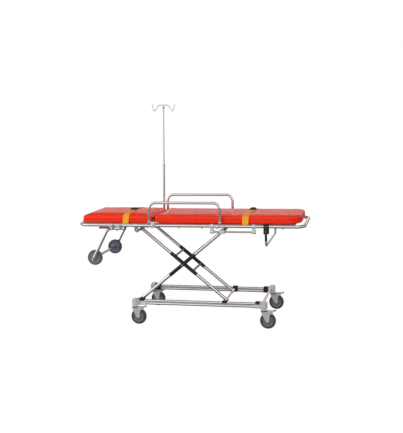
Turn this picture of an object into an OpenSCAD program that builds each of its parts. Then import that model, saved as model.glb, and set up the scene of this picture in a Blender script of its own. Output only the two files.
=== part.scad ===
// Ambulance stretcher trolley with a scissor undercarriage, stored raised.
// +X is the foot end, -Y the near side, +Z up. Millimetres.
// Origin: on the floor, in the middle of the width, below the middle of the bed.

/* [Bed frame] */
// Overall length over the two end bows
bed_len = 1875; // [1750:5:1950]
// X of the foot bow's outer face
foot_x = 950; // [900:5:1000]
// Centre distance of the two long bed tubes
rail_spread = 518; // [440:2:560]
// Height of the bed tubes' centre, bed raised
rail_z = 796; // [700:1:900]
// Outside diameter of the bed tubes
rail_d = 25; // [20:0.5:32]
// Bend radius of the head bow's corners
head_bend_r = 103; // [60:1:140]
// Length along X of the foot bow's cut-off corners
foot_cut_x = 58; // [30:1:90]
// Width along Y of the foot bow's cut-off corners
foot_cut_y = 54; // [30:1:90]

/* [Mattress] */
// Height of the mattress underside
mat_z = 808; // [800:1:830]
// Thickness of the mattress
mat_t = 67; // [50:1:90]
// Width of the mattress
mat_w = 472; // [400:2:520]
// Head end of the mattress
mat_head_x = -887; // [-920:1:-850]
// Foot end of the mattress
mat_foot_x = 912; // [880:1:930]
// Where the head section folds
fold_x = -279; // [-350:1:-200]
// Corner radius in plan at the foot end
mat_foot_r = 135; // [40:1:180]
// Width of the patient straps
strap_w = 50; // [30:1:60]
// Centre of the chest strap
head_strap_x = -516; // [-600:1:-400]
// Centre of the leg strap
foot_strap_x = 474; // [400:1:600]

/* [Scissor undercarriage] */
// Height of the lower leg pivots
pivot_low_z = 182; // [160:1:220]
// Height of the upper leg pivots, bed raised
pivot_high_z = 752; // [700:1:800]
// X of the pivots at the head side
pivot_head_x = -405; // [-450:1:-380]
// X of the pivots at the foot side, bed raised
pivot_foot_x = 291; // [250:1:320]
// Centre plane of the outer legs
outer_y = 180; // [160:1:200]
// Centre plane of the inner legs
inner_y = 141; // [120:1:170]
// Diameter of the leg tubes
leg_d = 25; // [20:0.5:30]
// Diameter of the cross shafts
shaft_d = 16; // [12:0.5:20]

/* [Base] */
// Centre plane of the base rails
base_y = 236; // [200:1:260]
// Height of the lower base tube's centre
base_low_z = 160; // [140:1:200]
// Diameter of the base tubes
base_d = 21; // [18:0.5:25]
// X of the head-side castor swivels
castor_head_x = -436; // [-480:1:-400]
// X of the foot-side castor swivels
castor_foot_x = 613; // [560:1:660]
// Centre plane of the castors
castor_y = 269; // [240:1:290]
// Wheel diameter
wheel_d = 125; // [100:1:150]
// Tyre width
tyre_w = 28; // [22:1:36]
// How far each castor wheel trails behind its swivel
castor_trail = 31; // [20:1:40]

/* [Guards, pole and fittings] */
// Centre plane of the side guards
guard_y = 270; // [255:1:280]
// Height of the guards' top bars
guard_top_z = 980; // [920:1:1020]
// X of the guards' head-side legs
guard_head_x = -299; // [-330:1:-270]
// X of the guards' foot-side legs
guard_foot_x = 278; // [240:1:310]
// Diameter of the guard tubes
guard_d = 21; // [18:0.5:25]
// X of the drip pole
pole_x = -339; // [-360:1:-300]
// Y of the drip pole
pole_y = 284; // [280:1:300]
// Height of the top of the drip pole
pole_top_z = 1768; // [1600:1:1900]
// Lean of the pole towards the foot end, in degrees
pole_lean = 0.9; // [0:0.1:2]
// Height of the joint in the telescopic pole
pole_joint_z = 1244; // [1100:1:1300]
// X of the loading wheels
load_x = -781; // [-820:1:-740]
// Height of the loading wheels' axle
load_z = 524; // [480:1:560]
// Centre plane of the loading wheels
load_y = 229; // [200:1:240]
// X of the release bar under the foot end
release_x = 643; // [600:1:700]

/* [Hidden] */
$fn = 48;
gap = 0.02;              // clearance where a tube is notched round another
run = 0.05;              // radial clearance of a running fit
head_x = foot_x - bed_len;
rail_y = rail_spread / 2;
head_tube_x = head_x + rail_d / 2;
foot_tube_x = foot_x - rail_d / 2;
rail_start_x = head_tube_x + head_bend_r + 12;
rail_end_x = foot_tube_x - foot_cut_x;
mat_top = mat_z + mat_t;
hinge_z = 794;
fold_half = 35.4;        // just over half of the backrest's range, in degrees
slide_z = pivot_high_z;
foot_cross_x = castor_foot_x - 14;
head_block_x = pivot_head_x + 13;
head_block_len = 52;
stop_block_x = 560;
stop_block_len = 36;
slide_bar_d = 15;
centre_x = (pivot_head_x + pivot_foot_x) / 2;
centre_z = (pivot_low_z + pivot_high_z) / 2;
leg_run = pivot_foot_x - pivot_head_x;
leg_rise = pivot_high_z - pivot_low_z;
leg_len = norm([leg_run, leg_rise]);
leg_angle = atan2(leg_rise, leg_run);
load_r = wheel_d / 2;
steel = [0.78, 0.78, 0.80];
dull = [0.70, 0.72, 0.72];
black = [0.10, 0.10, 0.10];
tyre_grey = [0.30, 0.31, 0.33];
red = [0.85, 0.16, 0.08];
yellow = [0.96, 0.64, 0.12];

// Which sub-part to show

// ---------- helpers ----------

// rod along X from x0 to x1
module rod_x(x0, x1, y, z, d)
    translate([x0, y, z]) rotate([0, 90, 0]) cylinder(h = x1 - x0, d = d);

// rod along Y from y0 to y1
module rod_y(y0, y1, x, z, d)
    translate([x, y0, z]) rotate([-90, 0, 0]) cylinder(h = y1 - y0, d = d);

// rod along Z from z0 to z1
module rod_z(z0, z1, x, y, d)
    translate([x, y, z0]) cylinder(h = z1 - z0, d = d);

// box centred in X and Y, from z0 up to z1
module block(x, y, z0, z1, sx, sy)
    translate([x - sx / 2, y - sy / 2, z0]) cube([sx, sy, z1 - z0]);

function unit(v) = v / norm(v);
function heading(v) = atan2(v.y, v.x);
function turn_at(p, i) =
    let (a = heading(p[i] - p[i - 1]), b = heading(p[i + 1] - p[i]), t = b - a)
    t > 180 ? t - 360 : t < -180 ? t + 360 : t;
// how much a bend of radius r takes from each straight beside point i
function trim_at(p, i, r) =
    i == 0 || i == len(p) - 1 ? 0 : r * tan(abs(turn_at(p, i)) / 2);

// round tube along a path in the XY plane, bent with radius r at each inner point
module bent_tube(p, r, d) {
    for (i = [0 : len(p) - 2]) {
        u = unit(p[i + 1] - p[i]);
        a = p[i] + u * trim_at(p, i, r);
        b = p[i + 1] - u * trim_at(p, i + 1, r);
        translate([a.x, a.y, 0]) rotate([0, 0, heading(u)]) rotate([0, 90, 0])
            cylinder(h = norm(b - a), d = d);
    }
    for (i = [1 : len(p) - 2]) {
        t = turn_at(p, i);
        u = unit(p[i] - p[i - 1]);
        side = t > 0 ? 1 : -1;
        c = p[i] - u * trim_at(p, i, r) + side * r * [-u.y, u.x];
        first = heading(u) - side * 90;
        translate([c.x, c.y, 0])
            rotate([0, 0, t > 0 ? first : first + t])
                rotate_extrude(angle = abs(t)) translate([r, 0]) circle(d = d);
    }
}

// round tube along a path in the XY plane, with a ball at each inner point
module jointed_tube(p, d, swell) {
    for (i = [0 : len(p) - 2]) {
        u = p[i + 1] - p[i];
        translate([p[i].x, p[i].y, 0]) rotate([0, 0, heading(u)]) rotate([0, 90, 0])
            cylinder(h = norm(u), d = d);
    }
    for (i = [1 : len(p) - 2]) translate([p[i].x, p[i].y, 0]) sphere(d = d + swell);
}

// bent_tube standing in a plane of constant y, with the path given as [x, z]
module bent_tube_xz(p, r, d, y)
    translate([0, y, 0]) rotate([90, 0, 0]) bent_tube(p, r, d);

// places its children on a leg that leans one way (1) or the other (-1):
// local x runs along the leg from the scissor centre
module on_leg(side, y)
    translate([centre_x, y, centre_z]) rotate([0, -side * leg_angle, 0]) children();

module both_sides(y) for (s = [-1, 1]) translate([0, s * y, 0]) children();

// ---------- base ----------

module base_rails() color(steel) {
    for (s = [-1, 1], z = [base_low_z, pivot_low_z])
        rod_x(castor_head_x + 24, castor_foot_x - 24, s * base_y, z, base_d);
    rod_y(-base_y + 12, base_y - 12, foot_cross_x, pivot_low_z, base_d - 2);
}

// cast corner: holds the two base tubes and the castor's swivel stem
module corner_socket(x, s, inward) {
    tube_x0 = min(x + inward * 24, x + inward * 100);
    tube_x1 = max(x + inward * 24, x + inward * 100);
    difference() {
        union() {
            rod_z(143, 200, x, s * castor_y, 46);
            block(x + inward * 6, s * (base_y + 2), 148, 196, 56, 40);
            translate([x, s * (castor_y - 4), 197]) sphere(d = 30);
            block(x, s * (base_y + 18), 150, 194, 46, 36);
            rod_x(min(x + inward * 30, x + inward * 80), max(x + inward * 30, x + inward * 80),
                  s * base_y, base_low_z, base_d + 6);
        }
        rod_z(140, 186, x, s * castor_y, 12 + 2 * run);
        block(x, s * castor_y, 204, 230, 60, 60);
        for (z = [base_low_z, pivot_low_z]) rod_x(tube_x0, tube_x1, s * base_y, z, base_d + gap);
        if (inward < 0)
            rod_y(-base_y + 12, base_y - 12, foot_cross_x, pivot_low_z, base_d - 2 + gap);
        rail_block_body(head_block_x, s, head_block_len + 0.6, 0.3);
        rail_block_body(stop_block_x, s, stop_block_len + 0.6, 0.3);
    }
}

module corner_sockets() color(dull)
    for (s = [-1, 1]) {
        corner_socket(castor_head_x, s, 1);
        corner_socket(castor_foot_x, s, -1);
    }

// saddle over the upper base tube with a cheek on its inner side
module rail_block_body(x, s, len_x, grow = 0) {
    block(x, s * base_y, 184 - grow, 198 + grow, len_x, 30 + 2 * grow);
    block(x, s * (base_y - 19.9), 154 - grow, 196 + grow, len_x, 16 + 2 * grow);
}

// plastic block that rides on the upper base tube and carries a cross shaft
module rail_block(x, s, len_x)
    difference() {
        rail_block_body(x, s, len_x);
        rod_x(x - len_x, x + len_x, s * base_y, pivot_low_z, base_d + 1);
    }

module rail_blocks() color(black)
    for (s = [-1, 1]) {
        rail_block(head_block_x, s, head_block_len);
        // end stop for the slider
        rail_block(stop_block_x, s, stop_block_len);
    }

module base_shaft() color(steel)
    rod_y(-base_y + 27.9, base_y - 27.9, pivot_head_x, pivot_low_z, shaft_d);

// ---------- scissor legs ----------

// one leg: a tube with an eye at each end
module leg(side, y) {
    difference() {
        union() {
            on_leg(side, y) rod_x(-leg_len / 2, leg_len / 2, 0, 0, leg_d);
            on_leg(side, y)
                for (e = [-1, 1])
                    rod_y(-13, 13, e * leg_len / 2, 0, 32);
        }
        on_leg(side, y)
            for (e = [-1, 1])
                rod_y(-20, 20, e * leg_len / 2, 0, shaft_d + 2 * run);
        on_leg(side, y) rod_y(-20, 20, 0, 0, 10 + 2 * run);
        if (sleeve_half > 0)
            on_leg(side, y)
                difference() {
                    rod_x(-sleeve_half, sleeve_half, 0, 0, leg_d + 1);
                    rod_x(-sleeve_half - 1, sleeve_half + 1, 0, 0, leg_d - 1);
                }
    }
}
sleeve_half = 136;

module leg_sleeve(side, y)
    difference() {
        on_leg(side, y) rod_x(-sleeve_half, sleeve_half, 0, 0, 30);
        on_leg(side, y) rod_x(-sleeve_half - 1, sleeve_half + 1, 0, 0, leg_d - 1 + gap);
        on_leg(side, y) rod_y(-20, 20, 0, 0, 10 + 2 * run);
    }

module outer_legs() color(steel) for (s = [-1, 1]) leg(1, s * outer_y);
module outer_sleeves() color(black) for (s = [-1, 1]) leg_sleeve(1, s * outer_y);
module inner_legs() color(steel) for (s = [-1, 1]) leg(-1, s * inner_y);
module inner_sleeves() color(black) for (s = [-1, 1]) leg_sleeve(-1, s * inner_y);

// centre bolts of the scissor, with a head outside and a nut inside
module scissor_bolts() color(steel)
    for (s = [-1, 1]) {
        rod_y(min(s * nut_y, s * 196), max(s * nut_y, s * 196), centre_x, centre_z, 10);
        translate([centre_x, s * 199, centre_z]) rotate([90, 0, 0])
            cylinder(h = 6, d = 19, center = true, $fn = 6);
        translate([centre_x, s * (nut_y - 4), centre_z]) rotate([90, 0, 0])
            cylinder(h = 8, d = 19, center = true, $fn = 6);
    }
nut_y = inner_y - 15.3;  // outer face of the centre bolts' nuts

// short ties between the two inner legs
module inner_spacers() color(steel)
    for (e = [-95, 95])
        difference() {
            on_leg(-1, 0) rod_y(-inner_y, inner_y, e, 0, 18);
            for (s = [-1, 1])
                on_leg(-1, s * inner_y) rod_x(-sleeve_half, sleeve_half, 0, 0, 30 + gap);
        }

// ---------- sliders ----------

module slider_blocks() color(black)
    for (s = [-1, 1]) rail_block(pivot_foot_x + 5, s, 38);

module slider_shaft() color(steel)
    rod_y(-base_y + 27.9, base_y - 27.9, pivot_foot_x, pivot_low_z, shaft_d);

// blocks that run on the slide bars under the bed
module carriage_blocks() color(steel)
    for (s = [-1, 1])
        difference() {
            union() {
                block(pivot_foot_x, s * rail_y, slide_z - 17, slide_z + 17, 38, 26);
                block(pivot_foot_x, s * (rail_y - 24), slide_z - 14, slide_z + 14, 30, 22);
            }
            rod_x(pivot_foot_x - 40, pivot_foot_x + 40, s * rail_y, slide_z, slide_bar_d + 1);
        }

module carriage_shaft() color([0.45, 0.33, 0.27])
    rod_y(-rail_y + 35, rail_y - 35, pivot_foot_x, slide_z, shaft_d);

// ---------- bed frame ----------

module side_rails() color(steel)
    for (s = [-1, 1]) rod_x(rail_start_x, rail_end_x, s * rail_y, rail_z, rail_d);

module end_bows() color(steel)
    translate([0, 0, rail_z]) {
        bent_tube([[rail_start_x, -rail_y], [head_tube_x, -rail_y],
                   [head_tube_x, rail_y], [rail_start_x, rail_y]], head_bend_r, rail_d);
        jointed_tube([[rail_end_x, -rail_y], [rail_end_x + 14, -rail_y],
                      [foot_tube_x, -rail_y + foot_cut_y],
                      [foot_tube_x, rail_y - foot_cut_y],
                      [rail_end_x + 14, rail_y], [rail_end_x, rail_y]], rail_d, 0.6);
    }

cross_tube_xs = [-120, 60, 180, 420, 580, 740, 850];
module bed_cross_tubes() color(steel)
    difference() {
        union() {
            for (x = cross_tube_xs) rod_y(-rail_y, rail_y, x, hinge_z, 20);
            rod_y(-rail_y, rail_y, fold_x, hinge_z, shaft_d);
        }
        both_sides(rail_y) rod_x(head_x, foot_x, 0, rail_z, rail_d + gap);
    }

module deck_panel() color(dull)
    difference() {
        block((-262 + 868) / 2, 0, mat_z - 4, mat_z, 868 + 262, 486);
        for (x = [-150 : 120 : 810], y = [-150, 0, 150])
            rod_z(mat_z - 10, mat_z + 10, x, y, 30);
    }

slide_bar_x0 = 197;
slide_bar_x1 = 556;
module slide_bars() color(steel)
    for (s = [-1, 1])
        rod_x(slide_bar_x0, slide_bar_x1, s * rail_y, slide_z, slide_bar_d);

// hanger that clamps a slide bar's end below the bed tube
module slide_bar_clamp(x, s)
    difference() {
        union() {
            rod_x(x - 12, x + 12, s * rail_y, rail_z, rail_d + 9);
            block(x, s * rail_y, slide_z, rail_z, 22, 17);
            rod_x(x - 15, x + 15, s * rail_y, slide_z, 29);
        }
        rod_x(x - 30, x + 30, s * rail_y, rail_z, rail_d + gap);
        rod_x(x - 30, x + 30, s * rail_y, slide_z, slide_bar_d + gap);
    }

module slide_bar_clamps() color(dull)
    for (s = [-1, 1], x = [slide_bar_x0 + 14, slide_bar_x1 - 12]) slide_bar_clamp(x, s);

// plates on the bed tubes that hold the shaft of the inner legs' upper ends, and the
// saddles that hold the loading legs
module leg_brackets() color(steel) {
    for (s = [-1, 1], x = [-540, -603])
        difference() {
            block(x, s * rail_y, load_tube_z - 11, 800, 20, load_tube_d + 3);
            rod_x(x - 30, x + 30, s * rail_y, rail_z, rail_d + gap);
            rod_x(x - 30, x + 30, s * rail_y, load_tube_z, load_tube_d + gap);
        }
    for (s = [-1, 1])
        difference() {
            union() {
                rod_x(pivot_head_x - 22, pivot_head_x + 8, s * rail_y, rail_z, rail_d + 9);
                block(pivot_head_x - 7, s * rail_y, slide_z - 4, rail_z, 28, 14);
                rod_y(s * rail_y - 9, s * rail_y + 9, pivot_head_x, slide_z, 25);
            }
            rod_x(pivot_head_x - 60, pivot_head_x + 60, s * rail_y, rail_z, rail_d + gap);
        }
}

module bracket_shaft() color([0.45, 0.33, 0.27])
    rod_y(-rail_y + 9, rail_y - 9, pivot_head_x, slide_z, shaft_d);

// ---------- loading legs ----------

load_tube_z = 770;
load_tube_d = 24;
load_foot_x = -789;
load_foot_z = 506;
module load_legs() color(steel) {
    difference() {
        both_sides(rail_y) union() {
            bent_tube_xz([[-510, load_tube_z], [-652, load_tube_z],
                          [load_foot_x, load_foot_z]], 60, load_tube_d, 0);
            rod_y(-9, 9, load_x, load_z, 30);
        }
        rod_y(-300, 300, load_x, load_z, 12 + gap);
    }
    rod_y(-rail_y - 14, rail_y + 14, load_x, load_z, 12);
    rod_y(-208, 208, load_x, load_z, 20);
    for (s = [-1, 1])
        translate([load_x, s * (rail_y + 16), load_z]) rotate([90, 0, 0])
            cylinder(h = 7, d = 19, center = true, $fn = 6);
}

// ---------- fittings on the bed tubes ----------

// tube caps and the release bar's carriers
module rail_fittings() color(black)
    for (s = [-1, 1]) {
        rod_x(-510, -503, s * rail_y, load_tube_z, load_tube_d + 1);
        difference() {
            block(release_x, s * (rail_y + 2), 742, 817, 40, 34);
            rod_x(600, 700, s * rail_y, rail_z, rail_d + gap);
            rod_y(-300, 300, release_x, release_pivot_z, release_pin_d + 2 * run);
        }
    }

bolt_xs = [-58, 130, 772];
module rail_bolts() color(steel)
    for (s = [-1, 1]) {
        for (x = bolt_xs) rod_z(rail_z - rail_d / 2 - 7, rail_z - rail_d / 2, x, s * rail_y, 10);
        rod_z(load_tube_z - load_tube_d / 2 - 7, load_tube_z - load_tube_d / 2, -575, s * rail_y, 10);
        rod_y(min(s * (rail_y + 19), s * (rail_y + 24)), max(s * (rail_y + 19), s * (rail_y + 24)),
              release_x, rail_z + 4, 11);
        rod_y(min(s * (rail_y + 9), s * (rail_y + 15)), max(s * (rail_y + 9), s * (rail_y + 15)),
              pivot_head_x, slide_z, 16);
    }

guard_hinge_y = rail_y + 27;
guard_hinge_z = 800;
guard_ear_x0 = 12.4;     // from a guard leg's centre to the clamp ears beside it
// how wide the clamp ear on the head side of a guard leg is, narrow beside the drip pole
function outer_ear(x) = x == guard_head_x ? 6.6 : 20.6;

// clamp ear from x0 to x1 with its knuckle on the guard's hinge line
module guard_ear(x0, x1, s) {
    block((x0 + x1) / 2, s * (rail_y + 12), 779, 806, x1 - x0, 36);
    rod_x(x0, x1, s * guard_hinge_y, guard_hinge_z, 20);
}

// clamps for the guards' feet and the drip pole
module rail_sockets() color(dull) {
    for (s = [-1, 1], x = [guard_head_x, guard_foot_x])
        difference() {
            union() {
                guard_ear(x - guard_ear_x0 - outer_ear(x), x - guard_ear_x0, s);
                guard_ear(x + guard_ear_x0, x + guard_ear_x0 + 20.6, s);
                if (x == guard_head_x) block(x + 28.6, s * (rail_y + 11), 779, 828, 30, 28);
            }
            rod_x(x + 10, x + 60, s * guard_pin_y, guard_pin_z, guard_pin_d + 2 * run);
            rod_x(x - 60, x + 60, s * rail_y, rail_z, rail_d + gap);
            rod_x(x - 40, x + 40, s * guard_hinge_y, guard_hinge_z, 8 + 2 * run);
        }
    difference() {
        union() {
            block(pole_x - 44, rail_y + 6, 775, 815, 22, 48);
            block(pole_x - 19.5, pole_y + 4, 775, 830, 61, 26);
        }
        rod_x(pole_x - 90, pole_x + 20, rail_y, rail_z, rail_d + gap);
        leaning() rod_z(760, 840, pole_x, pole_y + 4, 17 + gap);
    }
}

// ---------- drip pole ----------

// the pole leans a little towards the foot end in its clamp
module leaning()
    translate([pole_x, pole_y + 4, 800]) rotate([0, pole_lean, 0])
        translate([-pole_x, -pole_y - 4, -800]) children();

module iv_pole_lower() color(steel)
    leaning() difference() {
        union() {
            rod_z(765, pole_joint_z, pole_x, pole_y + 4, 17);
            rod_z(pole_joint_z - 22, pole_joint_z, pole_x, pole_y + 4, 21);
        }
        rod_z(770, pole_joint_z + 1, pole_x, pole_y + 4, 12.6 + 2 * run);
    }

module iv_pole_upper() color(steel)
    leaning() rod_z(1150, pole_top_z, pole_x, pole_y + 4, 12.6);

// one hook cut from bar: out from the pole, down, round and up to a tip
module hook(s) {
    p = [[s * 8, 0], [s * 40, 0], [s * 72, -46], [s * 78, -50], [s * 85, -44], [s * 98, 10]];
    linear_extrude(height = 6, center = true)
        for (i = [0 : len(p) - 2]) {
            u = p[i + 1] - p[i];
            translate(p[i]) rotate([0, 0, heading(u)]) translate([0, -3]) square([norm(u), 6]);
            translate(p[i + 1]) circle(d = 6.6);
        }
}

module iv_hooks() color(steel)
    leaning() translate([pole_x, pole_y + 4, pole_top_z]) {
        difference() {
            rod_z(-34, 4, 0, 0, 18);
            rod_z(-40, 0, 0, 0, 12.6 + gap);
        }
        rotate([0, 0, 12]) rotate([90, 0, 0]) for (s = [-1, 1]) hook(s);
    }

// ---------- mattress ----------

half_w = mat_w / 2;
fold_dx = tan(fold_half) * (mat_top + 1 - hinge_z);
fold_low_dx = tan(fold_half) * (mat_z - hinge_z);

function arc(x, y, r, from, to, n) =
    [for (i = [0 : n]) [x + r * cos(from + (to - from) * i / n), y + r * sin(from + (to - from) * i / n)]];

// plan of the whole mattress: small corners at the head, large ones at the foot
module mat_plan(head_r = 34)
    polygon(concat(
        arc(mat_head_x + head_r, -half_w + head_r, head_r, 180, 270, 8),
        arc(mat_foot_x - mat_foot_r, -half_w + mat_foot_r, mat_foot_r, 270, 360, 18),
        arc(mat_foot_x - mat_foot_r, half_w - mat_foot_r, mat_foot_r, 0, 90, 18),
        arc(mat_head_x + head_r, half_w - head_r, head_r, 90, 180, 8)));

// side view [x, z] of the wedge that closes up when the backrest rises
module fold_side(extra)
    polygon([[fold_x - fold_low_dx - extra, mat_z], [fold_x + fold_low_dx + extra, mat_z],
             [fold_x + fold_dx + extra, mat_top + 1], [fold_x - fold_dx - extra, mat_top + 1]]);

module strap_groove(x)
    difference() {
        block(x, 0, mat_z - 1, mat_top + 2, strap_w + 2, mat_w + 20);
        block(x, 0, mat_z - 2, mat_top - 4, strap_w + 4, mat_w - 8);
    }

module mattress_main() color(red)
    difference() {
        translate([0, 0, mat_z]) linear_extrude(height = mat_t) mat_plan();
        translate([mat_head_x - 10, -half_w - 5, mat_z - 1])
            cube([fold_x - mat_head_x + 10, mat_w + 10, mat_t + 2]);
        translate([0, half_w + 5, 0]) rotate([90, 0, 0])
            linear_extrude(height = mat_w + 10) fold_side(0);
        strap_groove(foot_strap_x);
    }

module mattress_head() color(red)
    difference() {
        translate([0, 0, mat_z]) linear_extrude(height = mat_t) mat_plan();
        translate([fold_x, -half_w - 5, mat_z - 1])
            cube([mat_foot_x - fold_x + 10, mat_w + 10, mat_t + 2]);
        translate([0, half_w + 5, 0]) rotate([90, 0, 0])
            linear_extrude(height = mat_w + 10) fold_side(0);
        strap_groove(head_strap_x);
    }

module mattress_fold() color(red)
    intersection() {
        translate([0, half_w, 0]) rotate([90, 0, 0])
            linear_extrude(height = mat_w) fold_side(-0.3);
        block(fold_x, 0, mat_z, mat_top, 300, mat_w);
    }

// webbing over the mattress and down both sides
module strap(x) {
    block(x, 0, mat_top - 3.8, mat_top - 0.6, strap_w, mat_w - 0.4);
    for (s = [-1, 1])
        block(x, s * (half_w - 2), mat_z + 1, mat_top - 3.8, strap_w, 3.6);
}

module buckle(x, y) {
    block(x, y, mat_top - 0.6, mat_top + 12, strap_w, 74);
    block(x, y, mat_top + 5, mat_top + 16, strap_w - 10, 50);
}

module foot_strap() color(yellow) strap(foot_strap_x);
module head_strap() color(yellow) strap(head_strap_x);
module foot_buckle() color(black) buckle(foot_strap_x, 170);
module head_buckle() color(black) buckle(head_strap_x, 55);

// ---------- backrest ----------

module backrest_frame() color(steel)
    difference() {
        union() {
            translate([0, 0, hinge_z])
                bent_tube([[fold_x, -226], [-858, -226], [-858, 226], [fold_x, 226]], 60, 20);
            rod_y(-238, 238, fold_x, hinge_z, 24);
            for (x = [-420, -640]) rod_y(-226, 226, x, hinge_z, 18);
        }
        rod_y(-260, 260, fold_x, hinge_z, shaft_d + 2 * run);
        // leave the hinge tube bare between three sleeves
        for (s = [-1, 1]) block(fold_x, s * 115, 770, 820, 40, 180);
    }

module backrest_panel() color(dull)
    difference() {
        block((-866 - 294) / 2, 0, mat_z - 4, mat_z, 866 - 294, 460);
        for (x = [-810 : 110 : -340], y = [-150, 0, 150])
            rod_z(mat_z - 10, mat_z + 10, x, y, 30);
    }

// ---------- side guards ----------

// upright U with its two feet round the hinge line
module guard(s)
    difference() {
        union() {
            translate([0, s * guard_y, 0]) rotate([90, 0, 0])
                bent_tube([[guard_head_x, guard_low_z], [guard_head_x, guard_top_z],
                           [guard_foot_x, guard_top_z], [guard_foot_x, guard_low_z]], 52, guard_d);
            for (x = [guard_head_x, guard_foot_x]) {
                rod_z(guard_low_z - 6, guard_low_z + 12, x, s * guard_y, guard_d + 5);
                block(x, s * (guard_hinge_y - 6), guard_low_z - 8, guard_low_z + 6, 20, 30);
                rod_x(x - 11.6, x + 11.6, s * guard_hinge_y, guard_hinge_z, 22);
            }
        }
        for (x = [guard_head_x, guard_foot_x])
            rod_x(x - 20, x + 20, s * rail_y, rail_z, rail_d + 1);
    }
guard_low_z = 822;

module guard_hinge_pins(s)
    for (x = [guard_head_x, guard_foot_x])
        difference() {
            rod_x(x - guard_ear_x0 - outer_ear(x), x + 33, s * guard_hinge_y, guard_hinge_z, 8);
            rod_x(x - 11.6, x + 11.6, s * guard_hinge_y, guard_hinge_z, 22);
        }

module guard_near() color(steel) {
    guard(-1);
    guard_hinge_pins(-1);
}

module guard_far() color(steel) {
    guard(1);
    guard_hinge_pins(1);
}

// spring pin in the latch block that locks the guard upright
module guard_pin(s) {
    rod_x(guard_head_x + 14, guard_head_x + 76, s * guard_pin_y, guard_pin_z, guard_pin_d);
    rod_x(guard_head_x + 44, guard_head_x + 60, s * guard_pin_y, guard_pin_z, 13);
}
guard_pin_y = guard_y - 2;
guard_pin_z = 820;
guard_pin_d = 6;
module guard_pin_near() color(dull) guard_pin(-1);
module guard_pin_far() color(dull) guard_pin(1);

// ---------- release bar and lever ----------

release_pivot_z = 762;
release_low_z = 651;
release_y = rail_y + 29;
release_pin_d = 10;
release_d = 17;
module release_bar() color(steel) {
    translate([release_x, 0, 0]) rotate([0, 0, 90]) rotate([90, 0, 0])
        bent_tube([[-release_y, release_pivot_z], [-release_y, release_low_z],
                   [release_y, release_low_z], [release_y, release_pivot_z]], 28, release_d);
    for (s = [-1, 1])
        rod_y(min(s * (rail_y + 3), s * (release_y + 11)),
              max(s * (rail_y + 3), s * (release_y + 11)), release_x, release_pivot_z, release_pin_d);
}

// hubs round the bar's two ends, each with a grip below it
module release_grips() color([0.10, 0.13, 0.11])
    for (s = [-1, 1])
        difference() {
            union() {
                rod_z(690, 745, release_x, s * release_y, release_d + 3);
                block(release_x, s * (release_y + 0.5), 744, 780, 36, 20);
            }
            rod_z(680, release_pivot_z, release_x, s * release_y, release_d + gap);
            rod_y(-400, 400, release_x, release_pivot_z, release_pin_d + gap);
        }

lever_x = -640;
lever_z = 776;
module leg_lever() color([0.45, 0.08, 0.06])
    difference() {
        union() {
            block(-682, -rail_y - 20, lever_z - 5, lever_z + 9, 74, 9);
            rod_y(-rail_y - 25, -rail_y - 15, lever_x, lever_z, 16);
        }
        rod_y(-rail_y - 40, -rail_y, lever_x, lever_z, 6 + 2 * run);
    }

// ---------- wheels and castors ----------

// half section of a wheel with its tyre, [radius, across], turned into a solid
module wheel_solid(bore, hub_w)
    rotate([90, 0, 0]) rotate_extrude()
        polygon([[bore / 2, -hub_w / 2], [14, -hub_w / 2], [16, -tyre_w / 2 + 5],
                 [38, -tyre_w / 2 + 7], [43, -tyre_w / 2 + 1], [54, -tyre_w / 2],
                 [60, -tyre_w / 2 + 3], [wheel_d / 2, -7], [wheel_d / 2, 7],
                 [60, tyre_w / 2 - 3], [54, tyre_w / 2], [43, tyre_w / 2 - 1],
                 [38, tyre_w / 2 - 7], [16, tyre_w / 2 - 5], [14, hub_w / 2], [bore / 2, hub_w / 2]]);

module load_wheel_near() color(tyre_grey)
    translate([load_x, -load_y, load_z]) wheel_solid(12 + 2 * run, 34);
module load_wheel_far() color(tyre_grey)
    translate([load_x, load_y, load_z]) wheel_solid(12 + 2 * run, 34);

axle_z = wheel_d / 2;
pedal_x = 30;
pedal_z = 136;
// one cheek of a fork, seen from the side: wide at the crown, with a hood over the tyre
module fork_side()
    polygon([[-22, 134], [46, 134], [70, 130.5], [70, 121], [52, 117], [46, 100],
             [castor_trail + 13, axle_z], [castor_trail + 9, axle_z - 10],
             [castor_trail - 9, axle_z - 10], [castor_trail - 18, axle_z]]);

// fork with its swivel stem, crown, axle bolt and pedal pin, wheel trailing towards +X
module castor_fork() {
    rod_z(139, 185, 0, 0, 12);
    rod_z(129, 142, 0, 0, 40);
    difference() {
        union() {
            for (s = [-1, 1]) {
                translate([0, s * 18.5, 0]) rotate([90, 0, 0])
                    linear_extrude(height = 3, center = true) fork_side();
                rod_y(min(s * 17, s * 20), max(s * 17, s * 20), castor_trail, axle_z, 25);
                rod_y(min(s * 17, s * 20), max(s * 17, s * 20), pedal_x, pedal_z, 12);
            }
            block(1, 0, 129, 134, 42, 37);
            block(44, 0, 126.3, 129.3, 50, 37);
        }
        rod_z(100, 160, 0, 0, 10);
    }
    rod_z(129, 134, 0, 0, 12);
    rod_y(-24, 24, castor_trail, axle_z, 10);
    rod_y(-20, 20, pedal_x, pedal_z, 4 - 2 * run);
    for (s = [-1, 1]) rod_y(min(s * 20, s * 25), max(s * 20, s * 25), castor_trail, axle_z, 17);
}

module castor_wheel() translate([castor_trail, 0, axle_z]) wheel_solid(10 + 2 * run, 33);

// foot brake: a plate that tips on a pin behind the crown
module castor_pedal()
    difference() {
        union() {
            rod_y(-15, 15, pedal_x, pedal_z, 9);
            rotate([90, 0, 0]) linear_extrude(height = 30, center = true)
                polygon([[pedal_x - 4, pedal_z], [pedal_x + 4, pedal_z - 4.5], [80, 136],
                         [98, 142], [97, 146], [78, 141], [pedal_x, pedal_z + 4.5]]);
        }
        rod_y(-30, 30, pedal_x, pedal_z, 4);
    }

module at_castor(i)
    translate([i < 2 ? castor_head_x : castor_foot_x, (i % 2 == 0 ? -1 : 1) * castor_y, 0])
        children();

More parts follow.
